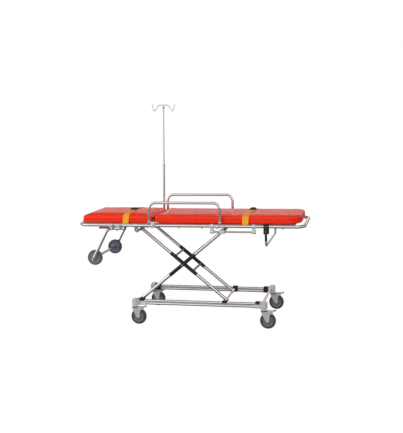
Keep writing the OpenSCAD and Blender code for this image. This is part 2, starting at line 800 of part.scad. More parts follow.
module castor_fork_hn() color(dull) at_castor(0) castor_fork();
module castor_wheel_hn() color(tyre_grey) at_castor(0) castor_wheel();
module castor_pedal_hn() color(dull) at_castor(0) castor_pedal();
module castor_fork_hf() color(dull) at_castor(1) castor_fork();
module castor_wheel_hf() color(tyre_grey) at_castor(1) castor_wheel();
module castor_pedal_hf() color(dull) at_castor(1) castor_pedal();
module castor_fork_fn() color(dull) at_castor(2) castor_fork();
module castor_wheel_fn() color(tyre_grey) at_castor(2) castor_wheel();
module castor_pedal_fn() color(dull) at_castor(2) castor_pedal();
module castor_fork_ff() color(dull) at_castor(3) castor_fork();
module castor_wheel_ff() color(tyre_grey) at_castor(3) castor_wheel();
module castor_pedal_ff() color(dull) at_castor(3) castor_pedal();

base_rails();
corner_sockets();
rail_blocks();
base_shaft();
outer_legs();
outer_sleeves();
scissor_bolts();
inner_legs();
inner_sleeves();
inner_spacers();
slider_blocks();
slider_shaft();
carriage_blocks();
carriage_shaft();
side_rails();
end_bows();
bed_cross_tubes();
deck_panel();
slide_bars();
slide_bar_clamps();
leg_brackets();
bracket_shaft();
load_legs();
rail_fittings();
rail_bolts();
rail_sockets();
iv_pole_lower();
iv_pole_upper();
iv_hooks();
mattress_main();
mattress_fold();
foot_strap();
foot_buckle();
backrest_frame();
backrest_panel();
mattress_head();
head_strap();
head_buckle();
guard_near();
guard_far();
guard_pin_near();
guard_pin_far();
release_bar();
release_grips();
leg_lever();
load_wheel_near();
load_wheel_far();
castor_fork_hn();
castor_wheel_hn();
castor_pedal_hn();
castor_fork_hf();
castor_wheel_hf();
castor_pedal_hf();
castor_fork_fn();
castor_wheel_fn();
castor_pedal_fn();
castor_fork_ff();
castor_wheel_ff();
castor_pedal_ff();
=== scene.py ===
import math
import bpy
import bmesh
from mathutils import Matrix, Vector, noise
from mathutils.bvhtree import BVHTree


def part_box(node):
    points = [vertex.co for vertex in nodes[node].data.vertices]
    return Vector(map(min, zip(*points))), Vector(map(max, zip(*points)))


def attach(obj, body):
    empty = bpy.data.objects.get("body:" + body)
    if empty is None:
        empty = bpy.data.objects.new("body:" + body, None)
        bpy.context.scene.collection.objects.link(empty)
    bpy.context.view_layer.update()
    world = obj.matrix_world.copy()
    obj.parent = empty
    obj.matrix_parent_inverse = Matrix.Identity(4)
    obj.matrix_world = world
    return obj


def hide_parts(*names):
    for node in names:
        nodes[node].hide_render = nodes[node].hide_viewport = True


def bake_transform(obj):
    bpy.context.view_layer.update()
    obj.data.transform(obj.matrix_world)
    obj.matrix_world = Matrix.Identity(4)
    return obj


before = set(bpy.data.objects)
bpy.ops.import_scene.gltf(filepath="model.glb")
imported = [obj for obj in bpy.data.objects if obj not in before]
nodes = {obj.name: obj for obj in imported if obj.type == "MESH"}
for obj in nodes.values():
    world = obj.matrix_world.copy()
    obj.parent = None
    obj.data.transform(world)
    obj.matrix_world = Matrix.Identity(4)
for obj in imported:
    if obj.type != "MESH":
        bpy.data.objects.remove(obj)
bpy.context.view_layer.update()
scene = bpy.context.scene

# ---------------------------------------------------------------- camera

CAMERA_PLACE = (1.3900, -5.5032, 1.6879)
CAMERA_TURN = 10.490  # degrees to the left of straight ahead
CAMERA_DIP = 2.329  # degrees below the level
CAMERA_ROLL = -1.154

cam_data = bpy.data.cameras.new("camera")
cam = bpy.data.objects.new("camera", cam_data)
scene.collection.objects.link(cam)
scene.camera = cam
cam_data.lens = 57.017
cam_data.sensor_width = 36.0
cam_data.shift_x = -0.0801
cam_data.shift_y = -0.176
cam_data.clip_end = 100.0
turn = Matrix.Rotation(math.radians(CAMERA_TURN), 4, "Z")
lean = Matrix.Rotation(math.radians(90.0 - CAMERA_DIP), 4, "X")
roll = Matrix.Rotation(math.radians(CAMERA_ROLL), 4, "Z")
cam.matrix_world = Matrix.Translation(CAMERA_PLACE) @ turn @ lean @ roll

# ---------------------------------------------------------------- light

scene.view_settings.view_transform = "Standard"
world = bpy.data.worlds.new("studio")
scene.world = world
world.use_nodes = True
sky = world.node_tree
backdrop = sky.nodes["Background"]

# (height, level) of the surroundings, from 0 straight down to 1 straight up: bright to the left,
# dimmer in front, and dark behind but for a low strip that gives the mattress top its sheen
LEFT_STEPS = [(0.0, 0.25), (0.30, 0.30), (0.42, 0.80), (0.50, 1.4), (0.64, 1.6), (0.78, 0.9),
              (1.0, 0.30)]
FRONT_STEPS = [(0.0, 0.20), (0.40, 0.22), (0.50, 0.45), (0.57, 1.0), (0.66, 1.5), (0.76, 1.0),
               (1.0, 0.30)]
BACK_STEPS = [(0.0, 0.30), (0.30, 0.12), (0.49, 0.08), (0.53, 0.9), (0.62, 0.9), (0.70, 0.09),
              (1.0, 0.30)]
BACK_TINT = (1.0, 0.78, 0.74)


def sky_ramp(steps, place_output, tint=(1.0, 1.0, 1.0)):
    """Levels of one tint by height, as a colour output."""
    ramp = sky.nodes.new("ShaderNodeValToRGB")
    while len(ramp.color_ramp.elements) < len(steps):
        ramp.color_ramp.elements.new(0.5)
    for element, (place, level) in zip(ramp.color_ramp.elements, steps):
        element.position = place
        element.color = (level * tint[0], level * tint[1], level * tint[2], 1.0)
    sky.links.new(place_output, ramp.inputs[0])
    return ramp.outputs[0]


def sky_share(direction_output, start, end, interpolation="SMOOTHSTEP"):
    """A share that goes from 0 to 1 while one part of the direction goes from start to end."""
    share = sky.nodes.new("ShaderNodeMapRange")
    share.interpolation_type = interpolation
    share.inputs["From Min"].default_value = start
    share.inputs["From Max"].default_value = end
    sky.links.new(direction_output, share.inputs["Value"])
    return share.outputs[0]


def sky_mix(share_output, first, second):
    """The first colour output turning into the second as the share rises."""
    mix = sky.nodes.new("ShaderNodeMix")
    mix.data_type = "RGBA"
    sky.links.new(share_output, mix.inputs["Factor"])
    sky.links.new(first, mix.inputs["A"])
    sky.links.new(second, mix.inputs["B"])
    return mix.outputs["Result"]


direction = sky.nodes.new("ShaderNodeTexCoord")
split = sky.nodes.new("ShaderNodeSeparateXYZ")
sky.links.new(direction.outputs["Generated"], split.inputs[0])
height = sky_share(split.outputs["Z"], -1.0, 1.0, "LINEAR")
behind = sky_share(split.outputs["Y"], -0.20, 0.45)
leftward = sky_share(split.outputs["X"], -0.14, -0.32)
front = sky_mix(leftward, sky_ramp(FRONT_STEPS, height), sky_ramp(LEFT_STEPS, height))
around = sky_mix(behind, front, sky_ramp(BACK_STEPS, height, BACK_TINT))
sky.links.new(around, backdrop.inputs["Color"])

# the camera itself sees plain white
white = sky.nodes.new("ShaderNodeBackground")
white.inputs["Color"].default_value = (1.0, 1.0, 1.0, 1.0)
seen = sky.nodes.new("ShaderNodeLightPath")
choose = sky.nodes.new("ShaderNodeMixShader")
sky.links.new(seen.outputs["Is Camera Ray"], choose.inputs[0])
sky.links.new(backdrop.outputs[0], choose.inputs[1])
sky.links.new(white.outputs[0], choose.inputs[2])
sky.links.new(choose.outputs[0], sky.nodes["World Output"].inputs["Surface"])


def softbox(name, place, target, width, depth, power):
    """A rectangular studio light at place, turned towards target and not seen in reflections."""
    data = bpy.data.lights.new(name, "AREA")
    data.shape = "RECTANGLE"
    data.size = width
    data.size_y = depth
    data.energy = power
    lamp = bpy.data.objects.new(name, data)
    scene.collection.objects.link(lamp)
    lamp.location = place
    lamp.visible_glossy = False
    lamp.rotation_euler = (Vector(target) - Vector(place)).to_track_quat("-Z", "Y").to_euler()


softbox("key_light", (-0.6, -4.2, 3.6), (-0.2, 0.0, 0.7), 3.4, 2.2, 85.0)

# the floor looks white with faint contact shadows, but throws only a little light back up
FLOOR_HALF = 9
floor_corners = [(-FLOOR_HALF, -FLOOR_HALF, 0), (FLOOR_HALF, -FLOOR_HALF, 0),
                 (FLOOR_HALF, FLOOR_HALF, 0), (-FLOOR_HALF, FLOOR_HALF, 0)]
floor_mesh = bpy.data.meshes.new("floor")
floor_mesh.from_pydata(floor_corners, [], [(0, 1, 2, 3)])
floor = bpy.data.objects.new("floor", floor_mesh)
scene.collection.objects.link(floor)
floor_paint = bpy.data.materials.new("pale_floor")
floor_paint.use_nodes = True
floor_nodes = floor_paint.node_tree
matt = floor_nodes.nodes["Principled BSDF"]
matt.inputs["Base Color"].default_value = (0.25, 0.25, 0.25, 1.0)
matt.inputs["Roughness"].default_value = 1.0
matt.inputs["Specular IOR Level"].default_value = 0.0
glow = floor_nodes.nodes.new("ShaderNodeEmission")
glow.inputs["Strength"].default_value = 0.88
both = floor_nodes.nodes.new("ShaderNodeAddShader")
floor_seen = floor_nodes.nodes.new("ShaderNodeLightPath")
floor_mix = floor_nodes.nodes.new("ShaderNodeMixShader")
floor_nodes.links.new(matt.outputs[0], both.inputs[0])
floor_nodes.links.new(glow.outputs[0], both.inputs[1])
floor_nodes.links.new(floor_seen.outputs["Is Camera Ray"], floor_mix.inputs[0])
floor_nodes.links.new(matt.outputs[0], floor_mix.inputs[1])
floor_nodes.links.new(both.outputs[0], floor_mix.inputs[2])
floor_nodes.links.new(floor_mix.outputs[0], floor_nodes.nodes["Material Output"].inputs["Surface"])
floor_mesh.materials.append(floor_paint)

# ---------------------------------------------------------------- materials


def add(mat, kind):
    """Adds a shader node to a material."""
    return mat.node_tree.nodes.new("ShaderNode" + kind)


def surface_noise(mat, scale, detail=3.0):
    """A noise texture in the object's own metres, as its value output."""
    coords = add(mat, "TexCoord")
    texture = add(mat, "TexNoise")
    texture.inputs["Scale"].default_value = scale
    texture.inputs["Detail"].default_value = detail
    mat.node_tree.links.new(coords.outputs["Object"], texture.inputs["Vector"])
    return texture.outputs[0]


def blotches(mat, shader, color, scale, amount):
    """Colour that drifts between a darker and a lighter tone of itself."""
    mix = add(mat, "Mix")
    mix.data_type = "RGBA"
    mix.inputs["A"].default_value = (*[v * (1.0 - amount) for v in color], 1.0)
    mix.inputs["B"].default_value = (*[min(1.0, v * (1.0 + amount)) for v in color], 1.0)
    mat.node_tree.links.new(surface_noise(mat, scale), mix.inputs["Factor"])
    mat.node_tree.links.new(mix.outputs["Result"], shader.inputs["Base Color"])


def uneven_gloss(mat, shader, scale, low, high):
    """Roughness that varies over the surface between low and high."""
    spread = add(mat, "MapRange")
    spread.inputs["From Min"].default_value = 0.3
    spread.inputs["From Max"].default_value = 0.7
    spread.inputs["To Min"].default_value = low
    spread.inputs["To Max"].default_value = high
    mat.node_tree.links.new(surface_noise(mat, scale, 5.0), spread.inputs["Value"])
    mat.node_tree.links.new(spread.outputs[0], shader.inputs["Roughness"])


def bump(mat, shader, height_output, depth, strength=1.0):
    """Relief of the given depth in metres."""
    relief = add(mat, "Bump")
    relief.inputs["Strength"].default_value = strength
    relief.inputs["Distance"].default_value = depth
    mat.node_tree.links.new(height_output, relief.inputs["Height"])
    mat.node_tree.links.new(relief.outputs[0], shader.inputs["Normal"])


def finish(name, color, metallic, gloss, tone, grain, depth):
    """A material with drifting tone, roughness between two values and a grain of some depth."""
    mat = bpy.data.materials.new(name)
    mat.use_nodes = True
    shader = mat.node_tree.nodes["Principled BSDF"]
    shader.inputs["Metallic"].default_value = metallic
    blotches(mat, shader, color, 9.0, tone)
    uneven_gloss(mat, shader, 23.0, *gloss)
    bump(mat, shader, surface_noise(mat, grain, 2.0), depth)
    return mat


tube_metal = finish("tube_metal", (0.84, 0.83, 0.825), 1.0, (0.13, 0.20), 0.03, 900.0, 0.000004)
# painted reflection: the brownish tone stands in for what these shafts reflect, and the steel itself is
# not brown
painted_reflection_metal = finish("painted_reflection_metal", (0.46, 0.33, 0.27), 0.6, (0.25, 0.42), 0.12, 700.0, 0.00001)
cast_metal = finish("cast_metal", (0.68, 0.70, 0.70), 0.4, (0.40, 0.55), 0.06, 650.0, 0.00006)
fork_metal = finish("fork_metal", (0.60, 0.63, 0.65), 0.45, (0.32, 0.46), 0.07, 500.0, 0.00003)
sheet_metal = finish("sheet_metal", (0.60, 0.61, 0.62), 0.9, (0.30, 0.45), 0.06, 300.0, 0.00004)
bolt_metal = finish("bolt_metal", (0.62, 0.62, 0.63), 1.0, (0.20, 0.35), 0.08, 600.0, 0.00003)
black_plastic = finish("black_plastic", (0.007, 0.007, 0.006), 0.0, (0.40, 0.56), 0.25, 1300.0, 0.00006)
grip_rubber = finish("grip_rubber", (0.008, 0.020, 0.014), 0.0, (0.40, 0.55), 0.25, 1100.0, 0.00008)
tyre_rubber = finish("tyre_rubber", (0.055, 0.056, 0.062), 0.0, (0.55, 0.75), 0.15, 1200.0, 0.00010)
rim_plastic = finish("rim_plastic", (0.155, 0.157, 0.168), 0.0, (0.32, 0.48), 0.10, 900.0, 0.00004)
load_tyre = finish("load_tyre", (0.105, 0.118, 0.140), 0.0, (0.50, 0.70), 0.15, 1200.0, 0.00010)
load_rim = finish("load_rim", (0.215, 0.213, 0.275), 0.0, (0.32, 0.48), 0.10, 900.0, 0.00004)
red_paint = finish("red_paint", (0.26, 0.010, 0.008), 0.0, (0.25, 0.40), 0.15, 700.0, 0.00004)


def vinyl_material():
    """Glossy red coated fabric with a fine leather-like grain."""
    mat = bpy.data.materials.new("red_vinyl")
    mat.use_nodes = True
    shader = mat.node_tree.nodes["Principled BSDF"]
    shader.inputs["Specular IOR Level"].default_value = 0.2
    shader.inputs["Coat Weight"].default_value = 0.12
    shader.inputs["Coat Roughness"].default_value = 0.16
    blotches(mat, shader, (0.86, 0.030, 0.007), 5.0, 0.03)
    uneven_gloss(mat, shader, 14.0, 0.24, 0.32)
    coords = add(mat, "TexCoord")
    cells = add(mat, "TexVoronoi")
    cells.feature = "DISTANCE_TO_EDGE"
    cells.inputs["Scale"].default_value = 620.0
    mat.node_tree.links.new(coords.outputs["Object"], cells.inputs["Vector"])
    bump(mat, shader, cells.outputs["Distance"], 0.00002, 0.02)
    return mat


def webbing_material():
    """Yellow woven webbing: ribs across the strap, broken up by the lengthwise yarns."""
    mat = bpy.data.materials.new("yellow_webbing")
    mat.use_nodes = True
    links = mat.node_tree.links
    shader = mat.node_tree.nodes["Principled BSDF"]
    shader.inputs["Roughness"].default_value = 0.62
    shader.inputs["Sheen Weight"].default_value = 0.08
    coords = add(mat, "TexCoord")
    waves = []
    for axis in ("X", "Y"):
        wave = add(mat, "TexWave")
        wave.bands_direction = axis
        wave.inputs["Scale"].default_value = 1.0
        wave.inputs["Distortion"].default_value = 0.35
        wave.inputs["Detail Scale"].default_value = 3.0
        links.new(coords.outputs["UV"], wave.inputs["Vector"])
        waves.append(wave.outputs["Fac"])
    weave = add(mat, "Math")
    weave.operation = "MULTIPLY"
    links.new(waves[0], weave.inputs[0])
    links.new(waves[1], weave.inputs[1])
    tone = add(mat, "Mix")
    tone.data_type = "RGBA"
    tone.inputs["A"].default_value = (0.84, 0.30, 0.006, 1.0)
    tone.inputs["B"].default_value = (1.0, 0.54, 0.020, 1.0)
    links.new(weave.outputs[0], tone.inputs["Factor"])
    links.new(tone.outputs["Result"], shader.inputs["Base Color"])
    bump(mat, shader, weave.outputs[0], 0.0005)
    return mat


red_vinyl = vinyl_material()
yellow_webbing = webbing_material()

# ---------------------------------------------------------------- CAD nodes

NODE_FINISH = {
    tube_metal: ["base_rails", "outer_legs", "inner_legs", "side_rails", "end_bows",
                 "bed_cross_tubes", "load_legs", "iv_pole_lower", "iv_pole_upper",
                 "backrest_frame", "guard_near", "guard_far", "release_bar",
                 "base_shaft", "slider_shaft", "leg_brackets"],
    # these shafts and spacers carry the painted reflection tone
    painted_reflection_metal: ["carriage_shaft", "bracket_shaft", "inner_spacers"],
    cast_metal: ["corner_sockets", "slide_bar_clamps", "rail_sockets", "carriage_blocks",
                 "guard_pin_near", "guard_pin_far"],
    sheet_metal: ["deck_panel", "backrest_panel", "slide_bars"],
    bolt_metal: ["scissor_bolts", "rail_bolts"],
    black_plastic: ["rail_blocks", "slider_blocks", "outer_sleeves", "inner_sleeves",
                    "rail_fittings", "release_grips"],
    red_paint: ["leg_lever"],
}
# castor codes of the nodes, and the words for them in the names of the bodies
CASTORS = {"hn": "head_left", "hf": "head_right", "fn": "foot_left", "ff": "foot_right"}
NODE_FINISH[cast_metal] += ["castor_pedal_" + code for code in CASTORS]
NODE_FINISH[fork_metal] = ["castor_fork_" + code for code in CASTORS]
ROUNDED_FINISHES = (cast_metal, fork_metal, black_plastic, red_paint, bolt_metal)


def shade(piece, mat, angle=32.0):
    """Gives a piece its material and smooth shading with sharp edges kept."""
    piece.data.materials.clear()
    piece.data.materials.append(mat)
    for face in piece.data.polygons:
        face.use_smooth = True
    piece.data.set_sharp_from_angle(angle=math.radians(angle))


for mat, names in NODE_FINISH.items():
    for name in names:
        shade(nodes[name], mat)
        if mat in ROUNDED_FINISHES:
            rounding = nodes[name].modifiers.new("rounding", "BEVEL")
            rounding.width = 0.0009
            rounding.segments = 2
            rounding.limit_method = "ANGLE"
            rounding.angle_limit = math.radians(38.0)

# ---------------------------------------------------------------- mesh tools


def piece_from(name, bm, mat, angle=32.0):
    """Turns a bmesh into a linked object with a material."""
    bmesh.ops.recalc_face_normals(bm, faces=bm.faces)
    mesh = bpy.data.meshes.new(name)
    bm.to_mesh(mesh)
    bm.free()
    piece = bpy.data.objects.new(name, mesh)
    scene.collection.objects.link(piece)
    shade(piece, mat, angle)
    return piece


def bake(piece):
    """Applies every modifier on a piece."""
    graph = bpy.context.evaluated_depsgraph_get()
    final = bpy.data.meshes.new_from_object(piece.evaluated_get(graph))
    piece.modifiers.clear()
    old = piece.data
    piece.data = final
    bpy.data.meshes.remove(old)


def lathe(name, profile, place, axis, mat, turns=72, angle=32.0):
    """Turns a closed (radius, along) profile about an axis through place."""
    bm = bmesh.new()
    spin = axis.to_track_quat("Z", "Y").to_matrix()
    rings = []
    for i in range(turns):
        a = math.tau * i / turns
        ring = []
        for radius, along in profile:
            point = spin @ Vector((radius * math.cos(a), radius * math.sin(a), along))
            ring.append(bm.verts.new(point + place))
        rings.append(ring)
    count = len(profile)
    for i in range(turns):
        here, there = rings[i], rings[(i + 1) % turns]
        for j in range(count):
            k = (j + 1) % count
            bm.faces.new((here[j], there[j], there[k], here[k]))
    return piece_from(name, bm, mat, angle)


def sweep(name, path, radius, mat, sides=12, closed=False):
    """A round rod along a path of points."""
    bm = bmesh.new()
    rings = []
    count = len(path)
    normal = None
    for i, point in enumerate(path):
        before = path[i - 1] if i > 0 or closed else point
        after = path[(i + 1) % count] if i < count - 1 or closed else point
        tangent = (after - before).normalized()
        if normal is None:
            normal = tangent.orthogonal().normalized()
        normal = (normal - tangent * normal.dot(tangent)).normalized()
        other = tangent.cross(normal)
        ring = []
        for j in range(sides):
            a = math.tau * j / sides
            offset = (normal * math.cos(a) + other * math.sin(a)) * radius
            ring.append(bm.verts.new(point + offset))
        rings.append(ring)
    for i in range(count if closed else count - 1):
        here, there = rings[i], rings[(i + 1) % count]
        for j in range(sides):
            k = (j + 1) % sides
            bm.faces.new((here[j], here[k], there[k], there[j]))
    if not closed:
        bm.faces.new(rings[0])
        bm.faces.new(rings[-1])
    return piece_from(name, bm, mat, 60.0)


def add_block(bm, centre, size, taper=1.0):
    """Adds a box, its top narrowed by taper, to a bmesh and returns its vertices."""
    made = bmesh.ops.create_cube(bm, size=1.0)["verts"]
    for vert in made:
        shrink = taper if vert.co.z > 0 else 1.0
        vert.co = Vector((vert.co.x * size[0] * shrink, vert.co.y * size[1] * shrink,
                          vert.co.z * size[2])) + Vector(centre)
    return made


def soften(piece, width, segments=3):
    """Rounds the sharp edges of a piece and applies it."""
    rounding = piece.modifiers.new("rounding", "BEVEL")
    rounding.width = width
    rounding.segments = segments
    rounding.limit_method = "ANGLE"
    rounding.angle_limit = math.radians(30.0)
    bake(piece)
    for face in piece.data.polygons:
        face.use_smooth = True
    piece.data.set_sharp_from_angle(angle=math.radians(40.0))


# ---------------------------------------------------------------- mattress

SEAM_GAP = 0.0015  # half of the gap between the two pads
WELT_RADIUS = 0.0014
PIN_DEPTH = 0.004  # the cover is pinned to the board up to this height
FOAM_LUMPS = 0.0014  # height of the filling's slow unevenness

fold_low, fold_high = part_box("mattress_fold")
main_low, main_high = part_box("mattress_main")
head_low, head_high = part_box("mattress_head")
pad_bottom = main_low[2]
pad_top = main_high[2]
pad_half = main_high[1]
fold_x = (fold_low[0] + fold_high[0]) / 2


def corner(x, y, radius, start, count):
    """Points of a quarter round about (x, y), counter-clockwise from start degrees."""
    points = []
    for i in range(count + 1):
        a = math.radians(start + 90.0 * i / count)
        points.append((x + radius * math.cos(a), y + radius * math.sin(a)))
    return points


def plan(x0, x1, half, r0, r1, r2):
    """Outline of a pad seen from above: corner radius r0 at x0, and at x1 r1 (near) and r2 (far)."""
    return (corner(x0 + r0, -half + r0, r0, 180.0, 6) + corner(x1 - r1, -half + r1, r1, 270.0, 14)
            + corner(x1 - r2, half - r2, r2, 0.0, 14) + corner(x0 + r0, half - r0, r0, 90.0, 6))


def inflate(piece, voxel, cap, floor):
    """Blows the pad up like a filled cover, pinned on the board below it."""
    remesh = piece.modifiers.new("remesh", "REMESH")
    remesh.mode = "VOXEL"
    remesh.voxel_size = voxel
    bake(piece)
    start = [vert.co.copy() for vert in piece.data.vertices]
    pins = piece.vertex_groups.new(name="pins")
    pins.add([i for i, p in enumerate(start) if p.z < floor + PIN_DEPTH], 1.0, "REPLACE")
    cloth = piece.modifiers.new("cloth", "CLOTH")
    cloth.settings.vertex_group_mass = "pins"
    cloth.settings.use_pressure = True
    cloth.settings.uniform_pressure_force = 4.0
    cloth.settings.effector_weights.gravity = 0.0
    cloth.settings.quality = 4
    for step in range(1, 21):
        scene.frame_set(step)
    bake(piece)
    scene.frame_set(1)
    for vert, old in zip(piece.data.vertices, start):
        moved = vert.co - old
        if moved.length > cap:
            vert.co = old + moved.normalized() * cap


def crown(piece, rise, floor):
    """Makes the top bulge gently to its middle, with the slow unevenness of a foam filling."""
    low = [min(v.co[k] for v in piece.data.vertices) for k in range(3)]
    high = [max(v.co[k] for v in piece.data.vertices) for k in range(3)]
    for vert in piece.data.vertices:
        along = 2.0 * (vert.co.x - low[0]) / (high[0] - low[0]) - 1.0
        across = 2.0 * (vert.co.y - low[1]) / (high[1] - low[1]) - 1.0
        share = max(0.0, vert.co.z - floor) / (high[2] - floor)
        bulge = rise * (1.0 - abs(along) ** 5) * (1.0 - abs(across) ** 5)
        lumps = noise.noise(vert.co * 6.0) * FOAM_LUMPS
        vert.co.z = vert.co.z + share ** 2 * (bulge + lumps)


def welt(name, piece, outline, z, radius):
    """A sewn cord that runs round a pad at height z."""
    surface = BVHTree.FromPolygons([v.co for v in piece.data.vertices],
                                   [p.vertices for p in piece.data.polygons])
    path = []
    for i, (x, y) in enumerate(outline):
        before, after = outline[i - 1], outline[(i + 1) % len(outline)]
        outward = Vector((after[1] - before[1], before[0] - after[0], 0.0)).normalized()
        steps = max(1, int((Vector(after) - Vector((x, y))).length / 0.03))
        for k in range(steps):
            place = Vector((x, y)).lerp(Vector(after), k / steps)
            start = Vector((place.x, place.y, z)) + outward * 0.03
            hit = surface.ray_cast(start, -outward)[0]
            if hit is not None and (not path or (hit - path[-1]).length > 0.004):
                path.append(hit + outward * radius * 0.3)
    return sweep(name, path, radius, red_vinyl, 8, closed=True)


def pad(name, outline, z0, z1, edge, voxel, cap, rise):
    """A filled cover: a rounded slab that is remeshed, inflated, crowned and smoothed."""
    bm = bmesh.new()
    base = [bm.verts.new((x, y, z0)) for x, y in outline]
    face = bm.faces.new(base)
    made = bmesh.ops.extrude_face_region(bm, geom=[face])["geom"]
    for vert in made:
        if isinstance(vert, bmesh.types.BMVert):
            vert.co.z = z1
    piece = piece_from(name, bm, red_vinyl, 60.0)
    soften(piece, edge, 4)
    inflate(piece, voxel, cap, z0)
    crown(piece, rise, z0)
    even = piece.modifiers.new("even", "SMOOTH")
    even.factor = 0.5
    even.iterations = 6
    fine = piece.modifiers.new("fine", "SUBSURF")
    fine.levels = 1
    fine.render_levels = 1
    bake(piece)
    for face in piece.data.polygons:
        face.use_smooth = True
    return piece


# the main pad has a wide round corner at the foot end, wider on the near side
main_plan = plan(fold_x + SEAM_GAP + 0.004, main_high[0] + 0.003, pad_half - 0.004,
                 0.012, 0.133, 0.080)
main_pad = pad("mattress_main_cover", main_plan, pad_bottom + 0.001, pad_top - 0.004,
               edge=0.007, voxel=0.008, cap=0.005, rise=0.0)
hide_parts("mattress_main", "mattress_fold")
main_welt = welt("mattress_main_welt", main_pad, main_plan, pad_bottom + 0.011, WELT_RADIUS)

head_plan = plan(head_low[0] - 0.004, fold_x - SEAM_GAP - 0.006, pad_half - 0.005,
                 0.026, 0.014, 0.014)
head_pad = pad("mattress_head_cover", head_plan, pad_bottom + 0.001, pad_top - 0.007,
               edge=0.013, voxel=0.007, cap=0.008, rise=0.008)
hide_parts("mattress_head")
head_welt = welt("mattress_head_welt", head_pad, head_plan, pad_bottom + 0.016, WELT_RADIUS)
for cover in (main_pad, main_welt):
    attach(cover, "bed")

# ---------------------------------------------------------------- straps and buckles

STRAP_HALF = 0.025
STRAP_THICK = 0.0018
ROW_LENGTH = 0.006  # length of one row of strap faces
WEAVE = 14.0  # waves of the weave across a strap

# where a strap's end runs down beside the pad and turns in under it, as (y, z)
BED_TAIL = [(0.2400, 0.826), (0.2440, 0.812), (0.2446, 0.803), (0.2400, 0.7995), (0.2220, 0.8010)]
BACK_TAIL = [(0.2392, 0.822), (0.2388, 0.806), (0.2386, 0.792), (0.2330, 0.7832), (0.2250, 0.7820)]


def over_pad(piece, x):
    """The line that a taut strap takes over a pad at x, as (y, z) points from -Y to +Y."""
    near = sorted((v.co.y, v.co.z) for v in piece.data.vertices if abs(v.co.x - x) < 0.02)
    hull = []
    for point in near:
        while len(hull) > 1:
            (y0, z0), (y1, z1) = hull[-2], hull[-1]
            if (y1 - y0) * (point[1] - z0) - (z1 - z0) * (point[0] - y0) < 0:
                break
            hull.pop()
        hull.append(point)
    return hull


def resample(points, spacing):
    """Even points along a polyline of (y, z) points."""
    result = [Vector(points[0])]
    left = spacing
    for a, b in zip(points, points[1:]):
        a, b = Vector(a), Vector(b)
        length = (b - a).length
        while length > left:
            a = a + (b - a).normalized() * left
            length = length - left
            result.append(a.copy())
            left = spacing
        left = left - length
    result.append(Vector(points[-1]))
    return result


def strap(name, piece, x_near, x_far, tail):
    """Webbing over a pad, its ends following the tail points on both sides."""
    line = over_pad(piece, (x_near + x_far) / 2)
    rise = STRAP_THICK / 2 + 0.0006
    near = [(-y, z) for y, z in reversed(tail)]
    line = near + [p for p in line if p[1] > pad_bottom + 0.014] + list(tail)
    path = resample(line, ROW_LENGTH)
    for _ in range(2):
        inner = [(a + b * 2 + c) / 4 for a, b, c in zip(path, path[1:], path[2:])]
        path = [path[0]] + inner + [path[-1]]
    bm = bmesh.new()
    uv = bm.loops.layers.uv.new("UVMap")
    across = 8
    upper, lower = [], []
    for i, point in enumerate(path):
        before, after = path[max(0, i - 1)], path[min(len(path) - 1, i + 1)]
        tangent = (after - before).normalized()
        outward = Vector((-tangent.y, tangent.x))
        share = i / (len(path) - 1)
        x = x_near + (x_far - x_near) * share + 0.0012 * math.sin(share * 23.0)
        top, under = [], []
        for j in range(across + 1):
            side = 2.0 * j / across - 1.0
            thick = STRAP_THICK / 2 * (1.0 - 0.55 * abs(side) ** 8)
            for row, sign in ((top, 1.0), (under, -1.0)):
                spot = point + outward * (rise + sign * thick)
                row.append(bm.verts.new((x + side * STRAP_HALF, spot.x, spot.y)))
        upper.append(top)
        lower.append(under)

    def quad(corners, places):
        """One face with its UV places."""
        face = bm.faces.new(corners)
        for loop, place in zip(face.loops, places):
            loop[uv].uv = place

    row = ROW_LENGTH / (2.0 * STRAP_HALF) * WEAVE
    for i in range(len(path) - 1):
        v0, v1 = i * row, (i + 1) * row
        for j in range(across):
            u0, u1 = j / across * WEAVE, (j + 1) / across * WEAVE
            places = ((u0, v0), (u1, v0), (u1, v1), (u0, v1))
            quad((upper[i][j], upper[i][j + 1], upper[i + 1][j + 1], upper[i + 1][j]), places)
            quad((lower[i][j], lower[i + 1][j], lower[i + 1][j + 1], lower[i][j + 1]),
                 (places[0], places[3], places[2], places[1]))
        for j in (0, across):
            u = j / across * WEAVE
            quad((upper[i][j], upper[i + 1][j], lower[i + 1][j], lower[i][j]),
                 ((u, v0), (u, v1), (u + 0.4, v1), (u + 0.4, v0)))
    for i in (0, len(path) - 1):
        bm.faces.new(upper[i] + lower[i][::-1])
    ribbon = piece_from(name, bm, yellow_webbing, 50.0)
    return ribbon


def buckle(name, cover, x, y):
    """Push-button buckle: a base with side rails, a domed housing, a button and a tongue."""
    surface = BVHTree.FromPolygons([v.co for v in cover.data.vertices],
                                   [p.vertices for p in cover.data.polygons])
    z = surface.ray_cast(Vector((x, y, pad_top + 0.1)), Vector((0.0, 0.0, -1.0)))[0].z + 0.0015
    bm = bmesh.new()
    add_block(bm, (x, y, z + 0.0045), (0.050, 0.062, 0.006))
    add_block(bm, (x, y, z + 0.0100), (0.042, 0.050, 0.007), 0.86)
    add_block(bm, (x, y - 0.009, z + 0.0142), (0.026, 0.020, 0.003), 0.88)
    add_block(bm, (x, y + 0.037, z + 0.0040), (0.040, 0.020, 0.0032))
    for side in (-1, 1):
        add_block(bm, (x + side * 0.0235, y - 0.034, z + 0.0045), (0.006, 0.018, 0.006))
    add_block(bm, (x, y - 0.042, z + 0.0045), (0.052, 0.006, 0.006))
    body = piece_from(name, bm, black_plastic)
    soften(body, 0.0016, 3)
    return body


def middle_x(node):
    """The x of a node's middle."""
    low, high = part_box(node)
    return (low[0] + high[0]) / 2


head_strap_x = middle_x("head_strap")
chest_strap = strap("chest_strap", head_pad, head_strap_x + 0.006, head_strap_x + 0.002, BACK_TAIL)
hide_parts("head_strap")
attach(chest_strap, "backrest")
foot_strap_x = middle_x("foot_strap")
leg_strap = strap("leg_strap", main_pad, foot_strap_x - 0.002, foot_strap_x + 0.014, BED_TAIL)
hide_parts("foot_strap")
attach(leg_strap, "bed")

